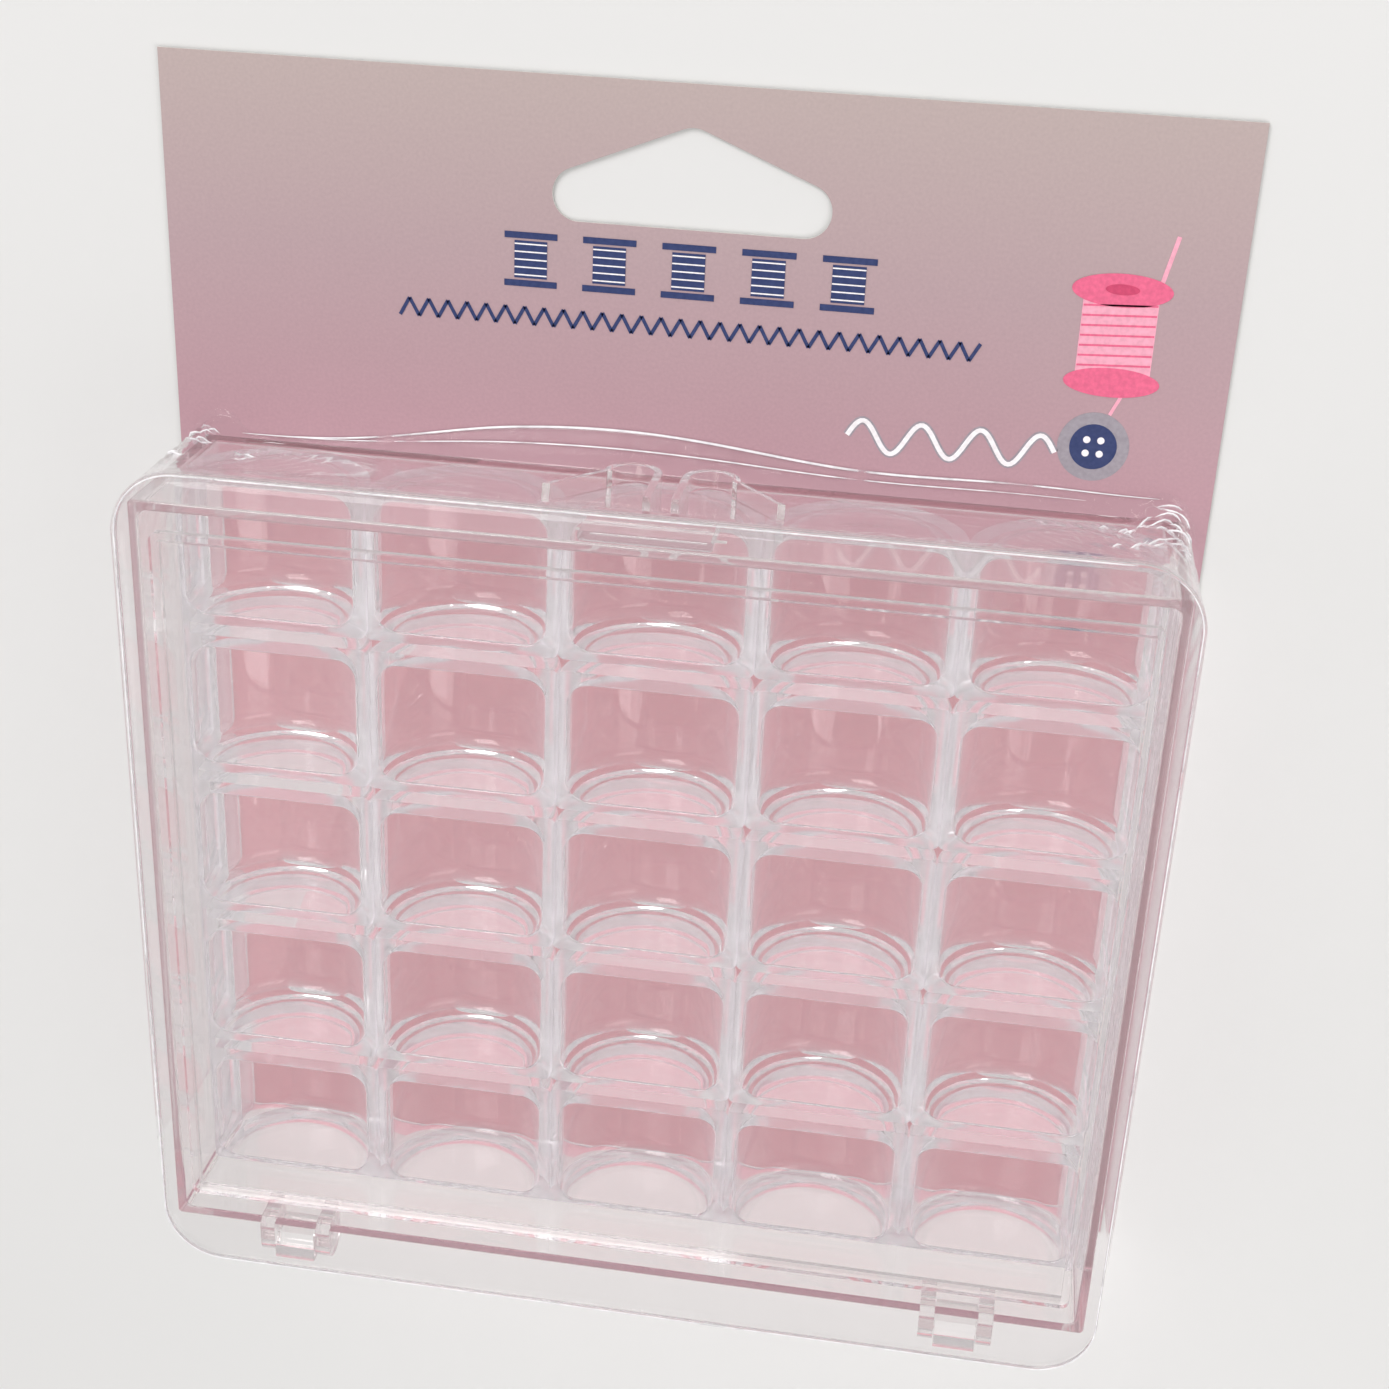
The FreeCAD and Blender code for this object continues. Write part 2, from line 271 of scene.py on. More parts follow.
def clear_film():
    """Thin shrink film: almost invisible face on, glossy along its creases."""
    material, tree, output = new_material("clear_film_look")
    through = node(tree, "ShaderNodeBsdfTransparent")
    through.inputs["Color"].default_value = (0.996, 0.995, 0.996, 1.0)
    gloss = node(tree, "ShaderNodeBsdfGlossy", Roughness=0.06)
    gloss.inputs["Color"].default_value = (1.0, 1.0, 1.0, 1.0)
    crinkle = node(tree, "ShaderNodeBump", Strength=0.12, Distance=0.0003)
    link(tree, object_noise(tree, 180.0, 4.0), crinkle.inputs["Height"])
    link(tree, crinkle.outputs["Normal"], gloss.inputs["Normal"])
    sheen = facing_curve(tree, 4.0, 0.7, 0.02)
    film = mix_shaders(tree, sheen, through.outputs["BSDF"], gloss.outputs["BSDF"])
    link(tree, let_light_through(tree, film, (0.995, 0.995, 0.995, 1.0)), output.inputs["Surface"])
    return material


def film_beads_painted_highlight():
    """Film drawn into a bead or crease, painted white as a highlight that breaks into patches."""
    material, tree, output = new_material("film_bead_painted_highlight_look")
    # Painted highlight: near-white beads, patchy so that the highlight looks broken
    white = ramp(tree, object_noise(tree, 700.0, 3.0),
                 [(0.3, srgb(226, 222, 226)), (0.7, srgb(255, 253, 255))])
    bead = node(tree, "ShaderNodeBsdfPrincipled", Roughness=0.18)
    link(tree, white, bead.inputs["Base Color"])
    clear = node(tree, "ShaderNodeBsdfTransparent")
    patchy = soft_step(tree, object_noise(tree, 130.0, 3.0), 0.30, 0.48)
    gathered = mix_shaders(tree, patchy, clear.outputs["BSDF"], bead.outputs["BSDF"])
    link(tree, gathered, output.inputs["Surface"])
    return material


def painted_light_mask(tree, place):
    """Where the card is painted lighter: 1 on the card behind the pockets, 0 outside the body's walls."""
    across = node(tree, "ShaderNodeMath", operation="ABSOLUTE")
    link(tree, place.outputs["X"], across.inputs[0])
    beside = soft_step(tree, across.outputs["Value"], BODY_HIGH.x, BODY_HIGH.x - 3 * MM)
    under = soft_step(tree, place.outputs["Y"], FAR_WALL + 0.1 * MM, FAR_WALL - 2 * MM)
    both = node(tree, "ShaderNodeMath", operation="MULTIPLY")
    link(tree, beside, both.inputs[0])
    link(tree, under, both.inputs[1])
    return both.outputs["Value"]


def print_and_painted_light(tree):
    """The printed fade from warm grey down to pink, with painted light: lighter where it is seen through
    the clear parts.
    """
    place = object_place(tree)
    height = node(tree, "ShaderNodeMapRange")
    height.inputs["From Min"].default_value = CARD_LOW.y
    height.inputs["From Max"].default_value = CARD_HIGH.y
    link(tree, place.outputs["Y"], height.inputs["Value"])
    header = ramp(tree, height.outputs["Result"], [
        (0.0, srgb(190, 150, 159)), (0.71, srgb(187, 148, 157)),
        (0.86, srgb(182, 156, 160)), (1.0, srgb(186, 168, 165))])
    # Painted light: the card under the pockets is painted lighter than its print, and less so under the top
    # row
    painted_light_under_rows = srgb(236, 174, 185)
    painted_light_under_top_row = srgb(218, 154, 167)
    painted_light_in_pockets = ramp(tree, height.outputs["Result"], [
        (0.0, painted_light_under_rows), (0.52, painted_light_under_rows), (0.64, painted_light_under_top_row), (1.0, painted_light_under_top_row)])
    fade = node(tree, "ShaderNodeMix", data_type="RGBA")
    link(tree, painted_light_mask(tree, place), fade.inputs["Factor"])
    link(tree, header, fade.inputs["A"])
    link(tree, painted_light_in_pockets, fade.inputs["B"])
    return fade.outputs["Result"]


def card_print_and_painted_light():
    """Coated board: the printed face with its painted light on the front, and plain grey board on the back
    and edges.
    """
    material, tree, output = new_material("card_print_and_painted_light_look")
    grain = object_noise(tree, 2600.0, 4.0)
    speckle = ramp(tree, grain, [(0.3, (0.93, 0.93, 0.93, 1.0)), (0.7, (1.0, 1.0, 1.0, 1.0))])
    tinted = node(tree, "ShaderNodeMix", data_type="RGBA", blend_type="MULTIPLY")
    tinted.inputs["Factor"].default_value = 1.0
    link(tree, print_and_painted_light(tree), tinted.inputs["A"])
    link(tree, speckle, tinted.inputs["B"])
    geometry = node(tree, "ShaderNodeNewGeometry")
    normal = node(tree, "ShaderNodeSeparateXYZ")
    link(tree, geometry.outputs["Normal"], normal.inputs["Vector"])
    front = node(tree, "ShaderNodeMath", operation="GREATER_THAN")
    front.inputs[1].default_value = 0.5
    link(tree, normal.outputs["Z"], front.inputs[0])
    board = ramp(tree, object_noise(tree, 900.0, 6.0, (1.0, 4.0, 1.0)),
                 [(0.35, srgb(206, 203, 198)), (0.65, srgb(224, 221, 216))])
    face = node(tree, "ShaderNodeMix", data_type="RGBA")
    link(tree, front.outputs["Value"], face.inputs["Factor"])
    link(tree, board, face.inputs["A"])
    link(tree, tinted.outputs["Result"], face.inputs["B"])
    paper = node(tree, "ShaderNodeBsdfPrincipled", Roughness=0.5)
    paper.inputs["Specular IOR Level"].default_value = 0.3
    link(tree, face.outputs["Result"], paper.inputs["Base Color"])
    fibres = node(tree, "ShaderNodeBump", Strength=0.08, Distance=0.0001)
    link(tree, grain, fibres.inputs["Height"])
    link(tree, fibres.outputs["Normal"], paper.inputs["Normal"])
    link(tree, paper.outputs["BSDF"], output.inputs["Surface"])
    return material


def ink(name, colour):
    """Printed ink with a slightly uneven lay-down."""
    material, tree, output = new_material(name)
    light = tuple(min(1.0, channel * 1.18 + 0.01) for channel in colour[:3]) + (1.0,)
    lay = ramp(tree, object_noise(tree, 1800.0, 5.0), [(0.35, colour), (0.7, light)])
    sheen = node(tree, "ShaderNodeBsdfPrincipled", Roughness=0.4)
    link(tree, lay, sheen.inputs["Base Color"])
    link(tree, sheen.outputs["BSDF"], output.inputs["Surface"])
    return material


def pale_floor():
    """A seamless near-white floor with a faint mottling."""
    material, tree, output = new_material("pale_floor")
    tone = ramp(tree, object_noise(tree, 3.0),
                [(0.3, (0.71, 0.70, 0.69, 1.0)), (0.7, (0.74, 0.73, 0.72, 1.0))])
    surface = node(tree, "ShaderNodeBsdfPrincipled", Roughness=0.8)
    link(tree, tone, surface.inputs["Base Color"])
    link(tree, surface.outputs["BSDF"], output.inputs["Surface"])
    return material


# ---------------------------------------------------------------- mesh helpers

def add_mesh(name, mesh, material):
    """A new object for a mesh, with one material."""
    mesh.materials.clear()
    mesh.materials.append(material)
    made = bpy.data.objects.new(name, mesh)
    bpy.context.scene.collection.objects.link(made)
    return made


def mesh_object(name, shape, material, smooth=True):
    """A new object for a finished bmesh, which is freed."""
    mesh = bpy.data.meshes.new(name)
    shape.to_mesh(mesh)
    shape.free()
    if smooth:
        mesh.shade_smooth()
    return add_mesh(name, mesh, material)


def apply_modifiers(obj):
    """Replace the object's mesh with its evaluated one."""
    graph = bpy.context.evaluated_depsgraph_get()
    result = bpy.data.meshes.new_from_object(obj.evaluated_get(graph), depsgraph=graph)
    obj.modifiers.clear()
    obj.data = result


def moulded(name, cad_node, material, body):
    """A finished moulding over a CAD node: its surface joined up and smoothed across its small rounds."""
    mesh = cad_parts[cad_node].data.copy()
    shape = bmesh.new()
    shape.from_mesh(mesh)
    bmesh.ops.remove_doubles(shape, verts=shape.verts, dist=0.002 * MM)
    bmesh.ops.dissolve_limit(shape, angle_limit=math.radians(0.4), verts=shape.verts, edges=shape.edges)
    for edge in shape.edges:
        edge.smooth = edge.calc_face_angle(0.0) < SHARP_ANGLE
    for face in shape.faces:
        face.smooth = True
    shape.to_mesh(mesh)
    shape.free()
    made = add_mesh(name, mesh, material)
    weight = made.modifiers.new("weight", "WEIGHTED_NORMAL")
    weight.keep_sharp = True
    apply_modifiers(made)
    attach(made, body)
    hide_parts(cad_node)
    return made


# ---------------------------------------------------------------- film

def film_sheet(name, shape, material, side, body, cad_node):
    """A sheet of film given its thickness, in the place of a CAD node. Side 0 thickens it both ways."""
    made = mesh_object(name, shape, material)
    skin = made.modifiers.new("skin", "SOLIDIFY")
    skin.thickness = FILM_THICKNESS
    skin.offset = side
    apply_modifiers(made)
    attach(made, body)
    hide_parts(cad_node)


def rounded_rect(low, high, radius, steps_per_corner, straight_step):
    """Points and outward directions round a rounded rectangle, anticlockwise from its lower right."""
    corners = [(high.x - radius, low.y + radius, -90), (high.x - radius, high.y - radius, 0),
               (low.x + radius, high.y - radius, 90), (low.x + radius, low.y + radius, 180)]
    points = []
    for index, (cx, cy, start) in enumerate(corners):
        for step in range(steps_per_corner + 1):
            angle = math.radians(start + 90 * step / steps_per_corner)
            direction = Vector((math.cos(angle), math.sin(angle)))
            points.append((Vector((cx, cy)) + radius * direction, direction))
        nx, ny, nstart = corners[(index + 1) % 4]
        direction = Vector((math.cos(math.radians(nstart)), math.sin(math.radians(nstart))))
        end = Vector((nx, ny)) + radius * direction
        begin, begin_direction = points[-1]
        count = max(1, round((end - begin).length / straight_step))
        for step in range(1, count):
            points.append((begin.lerp(end, step / count), begin_direction))
    return points


def build_film_front(material):
    """The film stretched over the lid's face, with a faint ripple."""
    outline = rounded_rect(FRONT_LOW, FRONT_HIGH, LID_CORNER - 0.35 * MM, 8, 2 * MM)
    middle = Vector(((FRONT_LOW.x + FRONT_HIGH.x) / 2, (FRONT_LOW.y + FRONT_HIGH.y) / 2))
    shape = bmesh.new()

    def height(point):
        """How high the rippled film lies at a point."""
        ripple = noise.noise(Vector((point.x * 60, point.y * 22, 3.0)))
        return FRONT_LOW.z + FRONT_LIFT + FRONT_RIPPLE * ripple

    centre = shape.verts.new((middle.x, middle.y, height(middle)))
    previous = None
    for ring in range(1, FRONT_RINGS + 1):
        row = []
        for point, _ in outline:
            place = middle.lerp(point, ring / FRONT_RINGS)
            row.append(shape.verts.new((place.x, place.y, height(place))))
        for index in range(len(row)):
            after = (index + 1) % len(row)
            if previous is None:
                shape.faces.new((centre, row[index], row[after]))
            else:
                shape.faces.new((previous[index], row[index], row[after], previous[after]))
        previous = row
    film_sheet("film_over_lid", shape, material, 1.0, "lid", "film_front")


def flange_edge(x):
    """Where the trimmed film ends on the card, as a distance beyond the body's far wall."""
    across = x / MM
    bulge = 2.5 * math.exp(-((across + 8) / 18) ** 2)
    climb = 2.3 * smooth_step(across, -54, -20)
    waver = 0.15 * math.sin(across / 5.0)
    return (0.4 + bulge + climb + waver) * MM


def smooth_step(value, low, high):
    """0 below low, 1 above high, and a smooth climb between them."""
    t = max(0.0, min(1.0, (value - low) / (high - low)))
    return t * t * (3 - 2 * t)


def crumple(point, depth):
    """Sharp little gathers where the film turns the box's two far corners."""
    corner = Vector((math.copysign(LID_HIGH.x - LID_CORNER * 0.6, point.x), LID_HIGH.y - LID_CORNER * 0.5))
    nearness = math.exp(-((point - corner).length / CRUMPLE_REACH) ** 2)
    slant = point.x + point.y * 0.4 + depth * math.copysign(0.5, -point.x)
    wander = noise.noise(Vector((point.x * 160, depth * 120, 1.0)))
    fold = math.sin(2 * math.pi * slant / CRUMPLE_WAVE + 3.5 * wander)
    strength = 1.0 if point.x > 0 else 0.6
    return strength * nearness * fold * CRUMPLE_HEIGHT


def film_section(point, direction):
    """Points down the film at one place round the lid.

    They run off the lid's edge, back to the card, and out along it to the trimmed edge.
    """
    top = max(0.0, direction.y)
    corner = 2 * abs(direction.x * direction.y)
    straight_top = top * (1 - corner)
    z_lid = LID_HIGH.z + 0.05 * MM
    z_lip = LID_HIGH.z - LID_THICKNESS
    z_card = CARD_HIGH.z + 0.06 * MM
    along = (point.x - point.y) * 60
    section = [(point + direction * FILM_CLEAR, z) for z in (z_lid, z_lid - 0.5 * MM, z_lip)]
    for row in range(1, FILM_ROWS + 1):
        t = row / FILM_ROWS
        z = z_lip + (z_card - z_lip) * t
        sag = math.sin(math.pi * t) ** 0.8 if 0 < t < 1 else 0.0
        slack = noise.noise(Vector((along, t * 1.3, 5.0))) * FILM_SLACK * (0.4 + straight_top)
        draw_in = straight_top * (FAR_SAG * sag + FAR_DRAW_IN * t ** 1.5) * MM + (1 - top) * SIDE_SAG * sag
        out = FILM_CLEAR - draw_in + slack * sag + crumple(point, z) * min(1.0, 3 * t * sag + 0.1)
        section.append((point + direction * out, z))
    foot, _ = section[-1]
    reach = FAR_WALL + flange_edge(point.x) - foot.y if straight_top > 0.5 else SIDE_FLANGE
    for step in range(1, FLANGE_ROWS + 1):
        t = step / FLANGE_ROWS
        curl = EDGE_CURL * t ** 3 * (0.5 + noise.noise(Vector((along * 0.7, 0.0, 2.0))))
        place = foot + direction * max(SHORTEST_FLANGE, reach) * t
        place.x = max(CARD_LOW.x + 0.1 * MM, min(CARD_HIGH.x - 0.1 * MM, place.x))
        gather = 0.3 * max(0.0, crumple(place, t * 3 * MM))
        section.append((place, z_card + max(0.0, curl) + gather))
    return section


def build_film_sleeve(material):
    """The film from the lid's edge back to the card, drawn in behind the lip."""
    outline = rounded_rect(LID_LOW, LID_HIGH, LID_CORNER, 22, 0.5 * MM)
    start_y = FILM_LOW.y + 4 * MM
    path = [item for item in outline if item[0].y > start_y]
    path.sort(key=lambda item: math.atan2(item[0].y - BODY_LOW.y, item[0].x))
    shape = bmesh.new()
    columns = [[shape.verts.new((place.x, place.y, z)) for place, z in film_section(point, direction)]
               for point, direction in path]
    for left, right in zip(columns, columns[1:]):
        for row in range(len(left) - 1):
            shape.faces.new((left[row], right[row], right[row + 1], left[row + 1]))
    film_sheet("film_wrap", shape, material, 0.0, "root", "film_sleeve")


def add_tube(shape, path, radius, closed=False):
    """A thin round bead along a path, tapering to its ends unless the path is closed."""
    count = len(path)
    sides = 8
    angles = [2 * math.pi * step / sides for step in range(sides)]
    rings = []
    for index, point in enumerate(path):
        before = path[index - 1] if closed or index else point
        after = path[(index + 1) % count] if closed or index + 1 < count else point
        along = (after - before).normalized()
        side = along.cross(Vector((0, 0, 1))).normalized()
        up = side.cross(along)
        taper = 1.0 if closed else 0.15 + 0.85 * math.sin(math.pi * index / (count - 1)) ** 0.5
        ways = [math.cos(angle) * side + math.sin(angle) * up for angle in angles]
        rings.append([shape.verts.new(point + radius * taper * way) for way in ways])
    pairs = list(zip(rings, rings[1:] + rings[:1]))
    for ring, following in pairs if closed else pairs[:-1]:
        for step in range(sides):
            after = (step + 1) % sides
            shape.faces.new((ring[step], ring[after], following[after], following[step]))
    if not closed:
        shape.faces.new(list(reversed(rings[0])))
        shape.faces.new(rings[-1])


def film_bead_object(name, paths, radius, material, body, closed=False):
    """Fine beads of gathered film, white with painted highlight, as one piece."""
    shape = bmesh.new()
    for path in paths:
        add_tube(shape, path, radius, closed)
    bmesh.ops.recalc_face_normals(shape, faces=shape.faces)
    made = mesh_object(name, shape, material)
    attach(made, body)


def crease_along_film(rim, start, count, down):
    """A short line on the film, a few steps round the lid's rim. Down is 0 at the lid and 1 at the card."""
    line = []
    for point, way in rim[start:start + count]:
        place, z = film_section(point, way)[2 + round(down * FILM_ROWS)]
        line.append(Vector((place.x, place.y, z + 0.03 * MM)) + 0.05 * MM * Vector((way.x, way.y, 0.0)))
    return line


def build_film_beads(material):
    """The cut edge and fold on the card, the slit round the lid, and short creases at the far corners, as
    beads of painted highlight.
    """
    z_card = CARD_HIGH.z + 0.2 * MM
    steps = 160
    run = BODY_HIGH.x - BODY_LOW.x - 8 * MM
    xs = [BODY_LOW.x + 5 * MM + run * step / steps for step in range(steps + 1)]
    edge = [Vector((x, FAR_WALL + flange_edge(x), z_card)) for x in xs]
    fold = [Vector((x, FAR_WALL + 0.3 * MM + flange_edge(x) * 0.5, z_card + 0.1 * MM)) for x in xs[4:-12]]
    film_bead_object("film_cut_edge", [edge], CUT_BEAD, material, "root")
    film_bead_object("film_fold_line", [fold], FOLD_BEAD, material, "root")
    rim = rounded_rect(LID_LOW, LID_HIGH, LID_CORNER, 24, 0.5 * MM)
    z_slit = LID_HIGH.z + 0.02 * MM
    inset = 0.2 * MM
    slit = [Vector((point.x - inset * way.x, point.y - inset * way.y, z_slit)) for point, way in rim]
    film_bead_object("film_slit_edge", [slit], SLIT_BEAD, material, "lid", closed=True)
    chance = random.Random(CREASE_SEED)
    creases = []
    for side, number in ((-1, LEFT_CREASES), (1, RIGHT_CREASES)):
        near_corner = [index for index, (point, _) in enumerate(rim)
                       if side * point.x > LID_HIGH.x - CREASE_SPREAD and point.y > LID_HIGH.y - 4 * MM]
        for _ in range(number):
            start = chance.choice(near_corner[:-LONGEST_CREASE])
            length = chance.randint(4, LONGEST_CREASE)
            creases.append(crease_along_film(rim, start, length, chance.uniform(0.3, 1.0)))
    film_bead_object("film_creases", creases, CREASE_BEAD, material, "root")


# ---------------------------------------------------------------- print on the card

def add_outline(shape, points, z, rise):
    """A flat closed outline as a thin raised patch."""
    bottom = [shape.verts.new((x, y, z)) for x, y in points]
    upper = [shape.verts.new((x, y, z + rise)) for x, y in points]
    shape.faces.new(upper)
    shape.faces.new(list(reversed(bottom)))
    for index in range(len(points)):
        after = (index + 1) % len(points)
        shape.faces.new((bottom[index], bottom[after], upper[after], upper[index]))


def rectangle(cx, cy, width, height):
    """Corners of a rectangle about its middle, in millimetres."""
    return [(cx - width / 2, cy - height / 2), (cx + width / 2, cy - height / 2),
            (cx + width / 2, cy + height / 2), (cx - width / 2, cy + height / 2)]


def ellipse(cx, cy, rx, ry, count=40):
    """Points round an ellipse, in millimetres."""
    return [(cx + rx * math.cos(2 * math.pi * i / count), cy + ry * math.sin(2 * math.pi * i / count))
            for i in range(count)]


def stroke(centre_line, width):
    """The outline of a line of even width along some points, in millimetres."""
    left, right = [], []
    for index, (x, y) in enumerate(centre_line):
        before = Vector(centre_line[max(0, index - 1)])
        after = Vector(centre_line[min(len(centre_line) - 1, index + 1)])
        along = (after - before).normalized()
        side = Vector((-along.y, along.x)) * width / 2
        left.append((x + side.x, y + side.y))
        right.append((x - side.x, y - side.y))
    return right + list(reversed(left))


def print_layer(name, material, outlines, layer=0):
    """One colour of the print, as thin patches on the card."""
    shape = bmesh.new()
    z = CARD_HIGH.z + INK_LIFT + layer * 2 * INK_RISE
    for points in outlines:
        add_outline(shape, [(x * MM, y * MM) for x, y in points], z, INK_RISE)
    made = mesh_object(name, shape, material, smooth=False)
    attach(made, "root")


# Places and sizes of the motifs on the card, in millimetres
BOBBIN_COUNT = 5
BOBBIN_STEP = 9.2
BOBBIN_Y = 124.0
BOBBIN_SIZE = 6.2
STITCH_COUNT = 60
STITCH_START = -34
STITCH_STEP = 1.15
STITCH_Y = 117.4
STITCH_SWING = 1.05
BUTTON_X, BUTTON_Y = 47.8, 107.5
BUTTON_RADIUS = 2.7
BUTTON_SURROUND = 4.1
BUTTON_HOLE = 0.42
HOLE_OFFSET = 0.8
WAVE_START = 19.5
WAVE_LENGTH = 24
WAVE_STEPS = 80
WAVE_HALF_TURNS = 7
WAVE_Y = 106.4
WAVE_SWING = 1.9
SPOOL_X, SPOOL_Y = 48.9, 120.6
WIND_COUNT = 7
WIND_STEP = 1.15
WIND_HALF_WIDTH = 4.1


def bobbin_icon(cx, cy, size):
    """A side view of a bobbin: two flanges and the wound thread between them."""
    return [rectangle(cx, cy + size * 0.45, size, size * 0.12),
            rectangle(cx, cy - size * 0.45, size, size * 0.12),
            rectangle(cx, cy, size * 0.62, size * 0.7)]


def bobbin_middles():
    """Where the row of bobbins sits across the card."""
    return [(index - BOBBIN_COUNT // 2) * BOBBIN_STEP for index in range(BOBBIN_COUNT)]


def bobbin_row():
    """The row of bobbins in the place of the title."""
    return [outline for x in bobbin_middles() for outline in bobbin_icon(x, BOBBIN_Y, BOBBIN_SIZE)]


def bobbin_threads():
    """Fine lines of thread across each bobbin."""
    return [stroke([(x - 1.9, 122.2 + line * 0.9), (x + 1.9, 122.2 + line * 0.9)], 0.16)
            for x in bobbin_middles() for line in range(5)]


def zigzag_stitches():
    """A line of zigzag stitching in the place of the smaller words."""
    points = [(STITCH_START + i * STITCH_STEP, STITCH_Y + (STITCH_SWING if i % 2 else -STITCH_SWING))
              for i in range(STITCH_COUNT)]
    return [stroke([first, second], 0.42) for first, second in zip(points, points[1:])]


def button_holes():
    """Four holes in the button."""
    return [ellipse(BUTTON_X + dx, BUTTON_Y + dy, BUTTON_HOLE, BUTTON_HOLE, 16)
            for dx in (-HOLE_OFFSET, HOLE_OFFSET) for dy in (-HOLE_OFFSET, HOLE_OFFSET)]


def wave_line():
    """A plain wave of thread in the place of the script mark."""
    return [(WAVE_START + WAVE_LENGTH * i / WAVE_STEPS,
             WAVE_Y + WAVE_SWING * math.sin(i / WAVE_STEPS * math.pi * WAVE_HALF_TURNS))
            for i in range(WAVE_STEPS + 1)]


def spool_flanges():
    """The two ends of the thread spool."""
    return [ellipse(SPOOL_X, SPOOL_Y + 5.2, 5.6, 1.9), ellipse(SPOOL_X, SPOOL_Y - 5.4, 5.4, 1.7)]


def spool_thread():
    """The block of thread on the spool, and the needle that passes behind it."""
    needle_above = stroke([(54.3, 132.2), (52.9, 126.0)], 0.5)
    needle_below = stroke([(50.2, 113.6), (49.2, 111.4)], 0.4)
    return [rectangle(SPOOL_X, SPOOL_Y, 8.4, 9.6), needle_above, needle_below]


def spool_winds():
    """Slanting lines of thread on the spool."""
    left, right = SPOOL_X - WIND_HALF_WIDTH, SPOOL_X + WIND_HALF_WIDTH
    left_y, right_y = SPOOL_Y - 3.6, SPOOL_Y - 3.2
    return [stroke([(left, left_y + line * WIND_STEP), (right, right_y + line * WIND_STEP)], 0.22)
            for line in range(WIND_COUNT)]


def print_card_art():
    """Plain sewing motifs in the places of the printed words and marks."""
    navy = ink("ink_navy", srgb(36, 50, 98))
    pink = ink("ink_pink", srgb(222, 96, 132))
    pale_pink = ink("ink_pale_pink", srgb(232, 160, 180))
    deep_pink = ink("ink_deep_pink", srgb(196, 60, 100))
    white = ink("ink_white", srgb(238, 232, 234))
    grey = ink("ink_grey", srgb(150, 142, 150))
    button = ellipse(BUTTON_X, BUTTON_Y, BUTTON_RADIUS, BUTTON_RADIUS)
    surround = ellipse(BUTTON_X, BUTTON_Y, BUTTON_SURROUND, BUTTON_SURROUND)
    print_layer("print_navy", navy, bobbin_row() + zigzag_stitches() + [button], 1)
    print_layer("print_white", white, bobbin_threads() + button_holes(), 2)
    print_layer("print_grey", grey, [stroke(wave_line(), 1.0), surround], 0)
    print_layer("print_pale", white, [stroke(wave_line(), 0.55)], 1)
    print_layer("print_pink", pink, spool_flanges(), 1)
    print_layer("print_thread", pale_pink, spool_thread(), 0)
    print_layer("print_winds", pink, spool_winds(), 1)
    print_layer("print_hub", deep_pink, [ellipse(SPOOL_X, SPOOL_Y + 5.3, 1.9, 0.6)], 2)


# ---------------------------------------------------------------- stage

def add_area_light(name, place, target, size, power):
    """A soft square light aimed at a point."""
    data = bpy.data.lights.new(name, "AREA")
    data.size = size
    data.energy = power
    made = bpy.data.objects.new(name, data)
    made.location = place
    made.rotation_euler = (Vector(target) - Vector(place)).to_track_quat("-Z", "Y").to_euler()
    bpy.context.scene.collection.objects.link(made)
    return made


def build_stage():
    """A pale floor, a bright even sky and two soft lights."""
    half = 3.0
    corners = [(-half, -half, 0), (half, -half, 0), (half, half, 0), (-half, half, 0)]
    mesh = bpy.data.meshes.new("floor")
    mesh.from_pydata(corners, [], [(0, 1, 2, 3)])
    floor = add_mesh("floor", mesh, pale_floor())
    floor.location.z = CARD_LOW.z - 0.2 * MM
    world = bpy.data.worlds.new("studio")
    world.use_nodes = True
    background = world.node_tree.nodes["Background"]
    background.inputs["Color"].default_value = (1.0, 1.0, 1.0, 1.0)
    background.inputs["Strength"].default_value = 0.65
    bpy.context.scene.world = world
    target = (0.0, 0.06, 0.01)
    add_area_light("key", (-0.35, 0.75, 0.75), target, 0.5, 5.2)
    add_area_light("fill", (0.6, -0.1, 0.7), target, 0.6, 2.6)


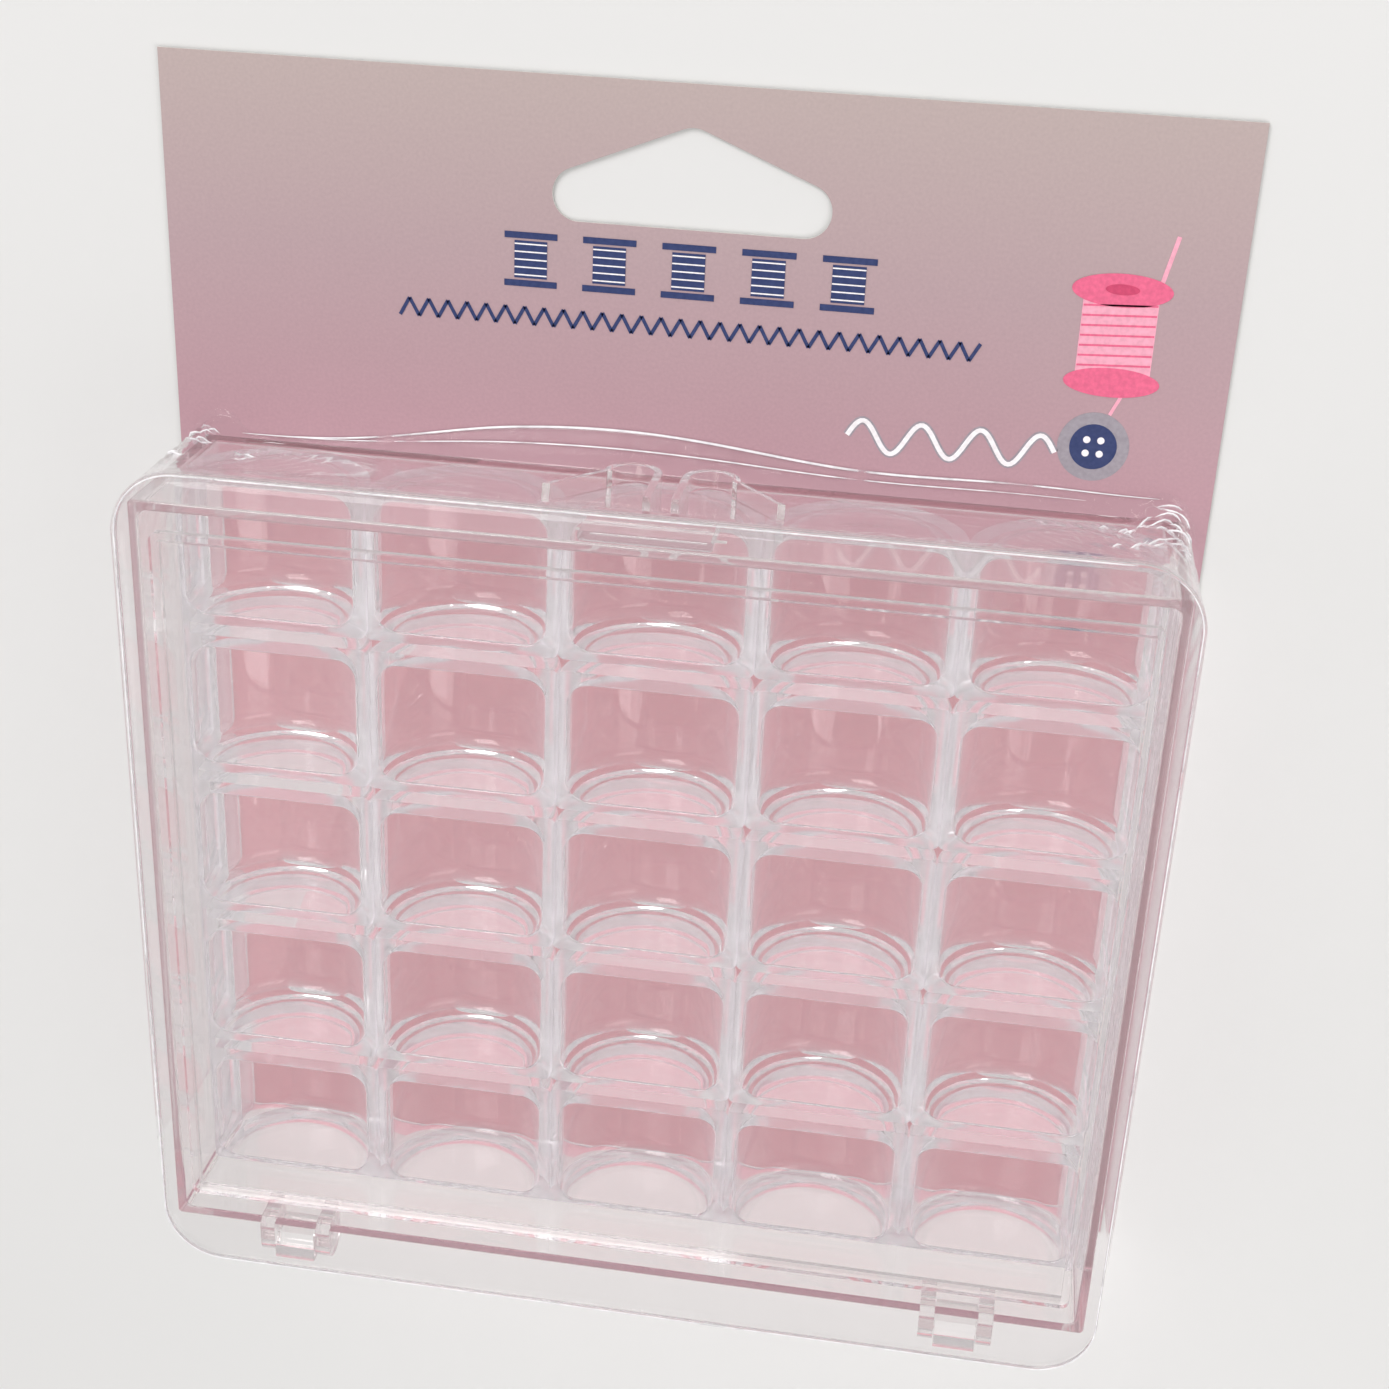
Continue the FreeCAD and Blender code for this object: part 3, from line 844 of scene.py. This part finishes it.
def add_camera():
    """A camera above the hang slot's end, to the right, looking down and back with a slight roll."""
    place = Vector((0.03438, 0.18329, 0.23948))
    aim = Vector((0.00479, 0.0774, 0.014))
    roll = math.radians(2.7)
    forward = (aim - place).normalized()
    up = Vector((0, 1, 0))
    up = (up - up.dot(forward) * forward).normalized()
    up = Matrix.Rotation(roll, 3, -forward) @ up
    right = forward.cross(up)
    rotation = Matrix((right, up, -forward)).transposed()
    data = bpy.data.cameras.new("photo_view")
    data.sensor_width = 36.0
    data.lens = 55.3
    data.clip_start = 0.01
    made = bpy.data.objects.new("photo_view", data)
    made.matrix_world = Matrix.Translation(place) @ rotation.to_4x4()
    bpy.context.scene.collection.objects.link(made)
    bpy.context.scene.camera = made


def set_light_paths():
    """Enough bounces to see through every clear wall, and plain display colours."""
    scene = bpy.context.scene
    scene.cycles.max_bounces = 24
    scene.cycles.transmission_bounces = 24
    scene.cycles.transparent_max_bounces = 32
    scene.cycles.glossy_bounces = 8
    scene.cycles.caustics_reflective = True
    scene.cycles.caustics_refractive = True
    scene.cycles.use_denoising = True
    scene.view_settings.view_transform = "Standard"


# ---------------------------------------------------------------- assembly

film = clear_film()
body_look = clear_polystyrene("body_look", BODY_TINT, haze=0.004, edge_haze=0.2,
                              hinge_glow=CARD_PINK_GLOW, glow=WALL_GLOW, shade=NEAR_WHITE)
tray_look = clear_polystyrene("tray_look", NEAR_WHITE, haze=0.008, edge_haze=0.4,
                              hinge_glow=RIB_GLOW, glow=RIB_GLOW, shade=NEAR_WHITE)
lid_look = clear_polystyrene("lid_look", LID_TINT, haze=0.004, edge_haze=0.15,
                             hinge_glow=LID_GLOW, glow=LID_GLOW, shade=LID_SHADE)
moulded("body_moulding", "box_body", body_look, "root")
moulded("tray_moulding", "pocket_insert", tray_look, "root")
moulded("lid_moulding", "lid", lid_look, "lid")
build_film_front(film)
build_film_sleeve(film)
build_film_beads(film_beads_painted_highlight())
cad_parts["header_card"].data.materials.clear()
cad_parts["header_card"].data.materials.append(card_print_and_painted_light())
print_card_art()
build_stage()
add_camera()
set_light_paths()
